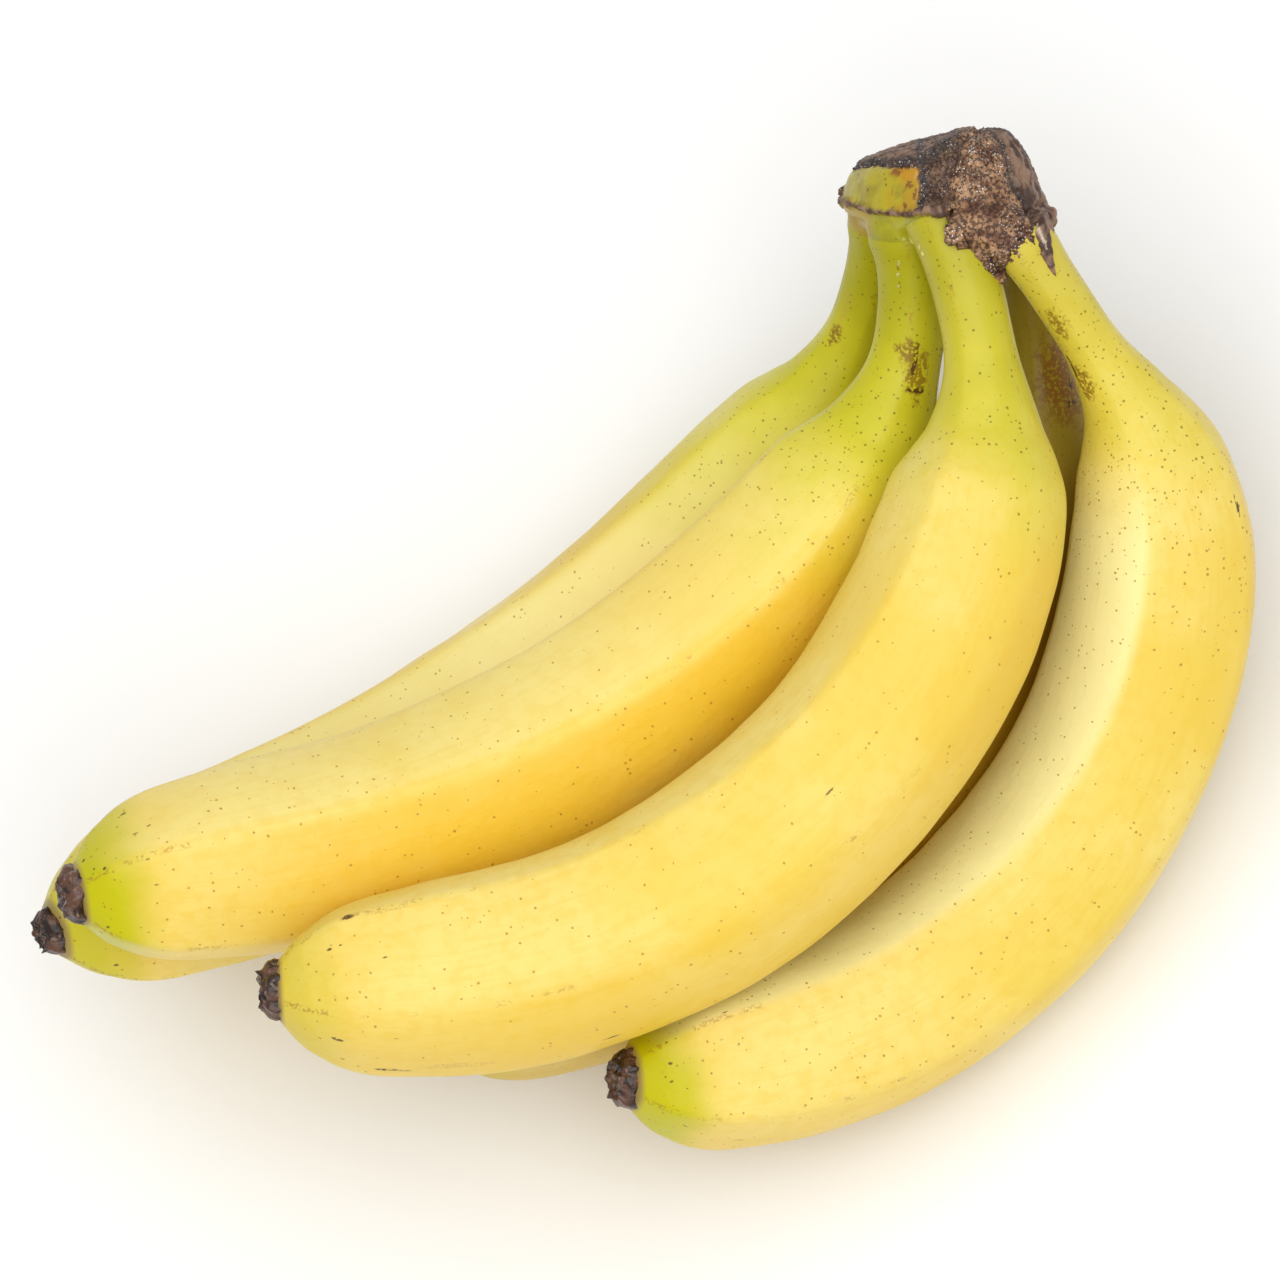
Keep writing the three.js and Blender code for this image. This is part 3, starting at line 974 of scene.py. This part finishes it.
STALK_DARK = (0.12, 0.045, 0.018, 1)
STALK_LIGHT = (0.44, 0.24, 0.12, 1)
STALK_SHADED = (0.085, 0.045, 0.028, 1)
CELL_PIT = (0.035, 0.014, 0.008, 1)
CELL_WALL = (0.55, 0.37, 0.23, 1)
CELL_GLINT = (0.88, 0.83, 0.77, 1)
STRAND_DARK = (0.06, 0.026, 0.015, 1)
STRAND_LIGHT = (0.30, 0.175, 0.11, 1)
LOBE_GREEN = (0.45, 0.37, 0.010, 1)
LOBE_OLIVE = (0.36, 0.30, 0.015, 1)
LOBE_AMBER = (0.50, 0.25, 0.010, 1)
LOBE_SPECK = (0.13, 0.05, 0.008, 1)
LOBE_BLOTCH = (0.20, 0.07, 0.01, 1)
WEB_GREEN = (0.30, 0.28, 0.004, 1)
WEB_LIME = (0.42, 0.39, 0.010, 1)
WEB_AMBER = (0.42, 0.25, 0.012, 1)
WEB_SPECK = (0.16, 0.09, 0.01, 1)
BURNT = (0.035, 0.028, 0.026, 1)
RIM_GLINT = (0.60, 0.57, 0.55, 1)
FIBRE_PALE = (0.62, 0.50, 0.38, 1)


def crown_material():
    material, tree = new_material("dried crown")
    place = add(tree, "TexCoord").outputs["Object"]
    mask = {
        name: add(tree, "Attribute", attribute_name=name).outputs["Fac"] for name in CROWN_MASKS
    }

    # Dry brown stalk. Its cut cells are a grain of dark pits and of pale walls, with white specks
    # that are painted highlights.
    wide = use(tree, patches, {"Place": place, "Per metre": 300.0, "Fine": 3.0,
                               "From": 0.38, "To": 0.62})
    colour = mixed(tree, wide, STALK_DARK, STALK_LIGHT)
    # Painted shade in the recess left of the grainy column, with fewer pale cell walls there.
    colour = mixed(tree, times(tree, mask["dark"], 0.75), colour, STALK_SHADED)
    grainy = reckon(tree, "SUBTRACT", 1.0, mask["streaked"])
    pits = use(tree, patches, {"Place": place, "Per metre": 1500.0, "Fine": 3.0,
                               "From": 0.48, "To": 0.60})
    colour = mixed(tree, times(tree, pits, grainy, 0.85), colour, CELL_PIT)
    crowd = use(tree, patches, {"Place": place, "Per metre": 170.0, "Fine": 3.0,
                                "From": 0.36, "To": 0.6})
    crowd = times(tree, crowd, grainy, remap(tree, mask["dark"], 0.0, 1.0, 1.0, 0.3))
    rough_place = use(tree, frayed, {"Place": place})
    walls = use(tree, flecks, {"Place": rough_place, "Per metre": 2100.0, "Size": 0.62,
                               "Kept": 0.5, "Edge": 0.5})
    colour = mixed(tree, times(tree, walls, crowd, 0.7), colour, CELL_WALL)
    # White specks: painted highlights on the cut cells.
    white = use(tree, flecks, {"Place": rough_place, "Per metre": 2700.0, "Size": 0.6,
                               "Kept": 0.3, "Edge": 0.5})
    colour = mixed(tree, times(tree, white, crowd), colour, CELL_GLINT)

    # The cut top and the right side are dense and streaked along the stalk.
    drawn = add(
        tree, "VectorMath", {0: place, 1: (0.3, 0.3, 1)}, operation="MULTIPLY",
    ).outputs[0]
    strands = use(tree, patches, {"Place": drawn, "Per metre": 620.0, "Fine": 3.0,
                                  "From": 0.38, "To": 0.62})
    streaks = mixed(tree, strands, STRAND_DARK, STRAND_LIGHT)
    colour = mixed(tree, mask["streaked"], colour, streaks)

    # The lobe left green where the knife did not reach, turning amber at its right end.
    lobe = use(tree, patches, {"Place": place, "Per metre": 130.0, "Fine": 3.0,
                               "From": 0.5, "To": 0.62})
    living = mixed(tree, lobe, LOBE_GREEN, LOBE_OLIVE)
    amber = times(tree, mask["amber"], remap(tree, lobe, 0.0, 1.0, 1.0, 0.6))
    living = mixed(tree, amber, living, LOBE_AMBER)
    specks = use(tree, flecks, {"Place": rough_place, "Per metre": 800.0, "Size": 0.34,
                                "Kept": 0.5, "Edge": 0.4})
    living = mixed(tree, times(tree, specks, 0.8), living, LOBE_SPECK)
    blotches = use(tree, patches, {"Place": rough_place, "Per metre": 520.0, "Fine": 4.0,
                                   "From": 0.56, "To": 0.62})
    blotches = times(tree, blotches, remap(tree, mask["amber"], 0.0, 1.0, 0.15, 0.85))
    living = mixed(tree, blotches, living, LOBE_BLOTCH)
    colour = mixed(tree, mask["lobe"], colour, living)

    # The web between the necks is olive green.
    soft = use(tree, patches, {"Place": place, "Per metre": 120.0, "Fine": 3.0})
    collar = mixed(tree, soft, WEB_GREEN, WEB_LIME)
    collar = mixed(tree, times(tree, mask["amber"], 0.7), collar, WEB_AMBER)
    collar = mixed(tree, times(tree, specks, 0.5), collar, WEB_SPECK)
    colour = mixed(tree, mask["collar"], colour, collar)

    # Burnt-dark rims, with white specks on them that are painted highlights.
    colour = mixed(tree, times(tree, mask["burnt"], 0.85), colour, BURNT)
    colour = mixed(tree, times(tree, white, mask["burnt"], 0.8), colour, RIM_GLINT)
    colour = mixed(tree, mask["pale"], colour, FIBRE_PALE)

    living_skin = reckon(tree, "MAXIMUM", mask["lobe"], mask["collar"])
    dry = reckon(tree, "SUBTRACT", 1.0, living_skin)
    height = reckon(tree, "MULTIPLY_ADD", times(tree, pits, grainy), -1.0, strands)
    relief = add(
        tree, "Bump", {"Height": times(tree, height, dry), "Distance": 0.00022, "Strength": 0.8},
    ).outputs[0]
    shader = add(
        tree, "BsdfPrincipled",
        {"Base Color": colour, "Normal": relief, "Specular IOR Level": 0.5,
         "Roughness": remap(tree, living_skin, 0.0, 1.0, 0.5, 0.36)},
    )
    add(tree, "OutputMaterial", {"Surface": shader.outputs[0]})
    return material


all_necks = bmesh.new()
for name in FRUITS:
    all_necks.from_mesh(bpy.data.objects["peel_" + name].data)
necks = BVHTree.FromBMesh(all_necks)
all_necks.free()
crown = carve_crown(
    [crown_block(), neck_roots()]
    + [neck_web(fruit) for fruit in FRUITS.values() if fruit["flare"] > 0.5]
    + [spur(*size, necks) for size in SPURS] + [nub(*size) for size in NUBS]
)
crown.data.materials.append(crown_material())
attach(crown, "root")
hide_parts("crown")

# ---- the dried sap ------------------------------------------------------------------------
# Sap bled from the cut, ran down over the necks and dried there in small clear beads and runs,
# stuck to the peel.

# Each bead: how far across and up on the crown's free side, half its width and half its height.
BEADS = (
    (-9.3, -0.9, 0.55, 1.0), (-8.3, -1.6, 0.5, 0.6), (-7.0, -2.0, 0.8, 0.45),
    (-5.6, -3.2, 0.45, 0.8), (-5.0, -4.4, 0.5, 0.4), (-0.7, -0.5, 0.6, 0.4),
    (0.4, -1.1, 0.4, 0.3), (-9.2, -6.2, 0.3, 0.7), (-9.3, -8.2, 0.35, 0.5),
    (-9.2, -10.3, 0.3, 0.35),
)
BEAD_THICKNESS = 0.24
BEAD_RIPPLE = 0.2
SAP_AMBER = (0.45, 0.42, 0.09, 1)
SAP_PALE = (0.59, 0.57, 0.18, 1)

sap = bmesh.new()
free_side = CROWN_PLACE.to_3x3() @ OUT
for across, up, half_width, half_height in BEADS:
    hit, facing = necks.ray_cast(on_side(across, up, CLEAR_OF_HAND) * MM, -free_side)[:2]
    flat = facing.to_track_quat("Z", "Y").to_matrix().to_4x4()
    size = Matrix.Diagonal((half_width * MM, half_height * MM, BEAD_THICKNESS * MM, 1))
    bmesh.ops.create_icosphere(
        sap, subdivisions=3, radius=1, matrix=Matrix.Translation(hit) @ flat @ size,
    )
for vert in sap.verts:
    vert.co += vert.normal * BEAD_RIPPLE * MM * noise.noise(vert.co * 2500)
beads = as_object("dried_sap", sap)
clear, tree = new_material("dried sap")
place = add(tree, "TexCoord").outputs["Object"]
cloudy = use(tree, patches, {"Place": place, "Per metre": 900.0, "Fine": 2.0})
shader = add(
    tree, "BsdfPrincipled",
    {"Base Color": mixed(tree, cloudy, SAP_AMBER, SAP_PALE),
     "Roughness": remap(tree, cloudy, 0.0, 1.0, 0.06, 0.14)},
)
add(tree, "OutputMaterial", {"Surface": shader.outputs[0]})
beads.data.materials.append(clear)
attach(beads, "root")

# ---- the surface, the light and the camera ------------------------------------------------
# The hand lies on a wide pale table. A big soft lamp stands to its upper left and a smaller one
# to its right, and a bright room fills the shadows.

FLOOR_REACH = 4      # to each side, m
FLOOR_WHITE = (0.96, 0.96, 0.96, 1)
floor_mesh = bmesh.new()
bmesh.ops.create_grid(floor_mesh, x_segments=4, y_segments=4, size=FLOOR_REACH)
floor = as_object("pale_floor", floor_mesh, smooth=False)
pale = bpy.data.materials.new("pale floor")
pale.use_nodes = True
pale_shader = pale.node_tree.nodes["Principled BSDF"]
pale_shader.inputs["Base Color"].default_value = FLOOR_WHITE
pale_shader.inputs["Roughness"].default_value = 0.8
floor.data.materials.append(pale)

CAMERA_AZIMUTH = 16.01
CAMERA_ELEVATION = 66.83
CAMERA_ROLL = -32.79
CAMERA_TARGET = Vector((0.00507, 0.01263, 0.05287))
CAMERA_DISTANCE = 7.892
CAMERA_LENS = 1200   # mm, over a sensor 36 mm wide
camera_turn = (
    Matrix.Rotation(math.radians(CAMERA_AZIMUTH), 4, "Z")
    @ Matrix.Rotation(math.radians(90 - CAMERA_ELEVATION), 4, "X")
    @ Matrix.Rotation(math.radians(CAMERA_ROLL), 4, "Z")
)
camera_data = bpy.data.cameras.new("camera")
camera_data.lens = CAMERA_LENS
camera_data.sensor_width = 36
camera = bpy.data.objects.new("camera", camera_data)
camera.matrix_world = (
    Matrix.Translation(CAMERA_TARGET + camera_turn.to_3x3() @ Vector((0, 0, CAMERA_DISTANCE)))
    @ camera_turn
)
bpy.context.scene.collection.objects.link(camera)
bpy.context.scene.camera = camera

# Each lamp: size in m, power in W, and where it stands, right, up and towards the camera.
LAMPS = {
    "key lamp": (2.4, 22, (-0.22, 0.24, 0.94)),
    "fill lamp": (1.4, 8.5, (0.14, -0.10, 0.98)),
}
LAMP_DISTANCE = 1.6
for name, (size, power, stands) in LAMPS.items():
    lamp_data = bpy.data.lights.new(name, "AREA")
    lamp_data.shape = "SQUARE"
    lamp_data.size = size
    lamp_data.energy = power
    lamp = bpy.data.objects.new(name, lamp_data)
    way = (camera_turn.to_3x3() @ Vector(stands)).normalized()
    lamp.matrix_world = (
        Matrix.Translation(way * LAMP_DISTANCE)
        @ way.to_track_quat("Z", "Y").to_matrix().to_4x4()
    )
    bpy.context.scene.collection.objects.link(lamp)

ROOM_LIGHT = 0.42
world = bpy.data.worlds.new("bright room")
world.use_nodes = True
background = world.node_tree.nodes["Background"]
background.inputs["Color"].default_value = (1, 1, 1, 1)
background.inputs["Strength"].default_value = ROOM_LIGHT
bpy.context.scene.world = world
bpy.context.scene.view_settings.view_transform = "Standard"
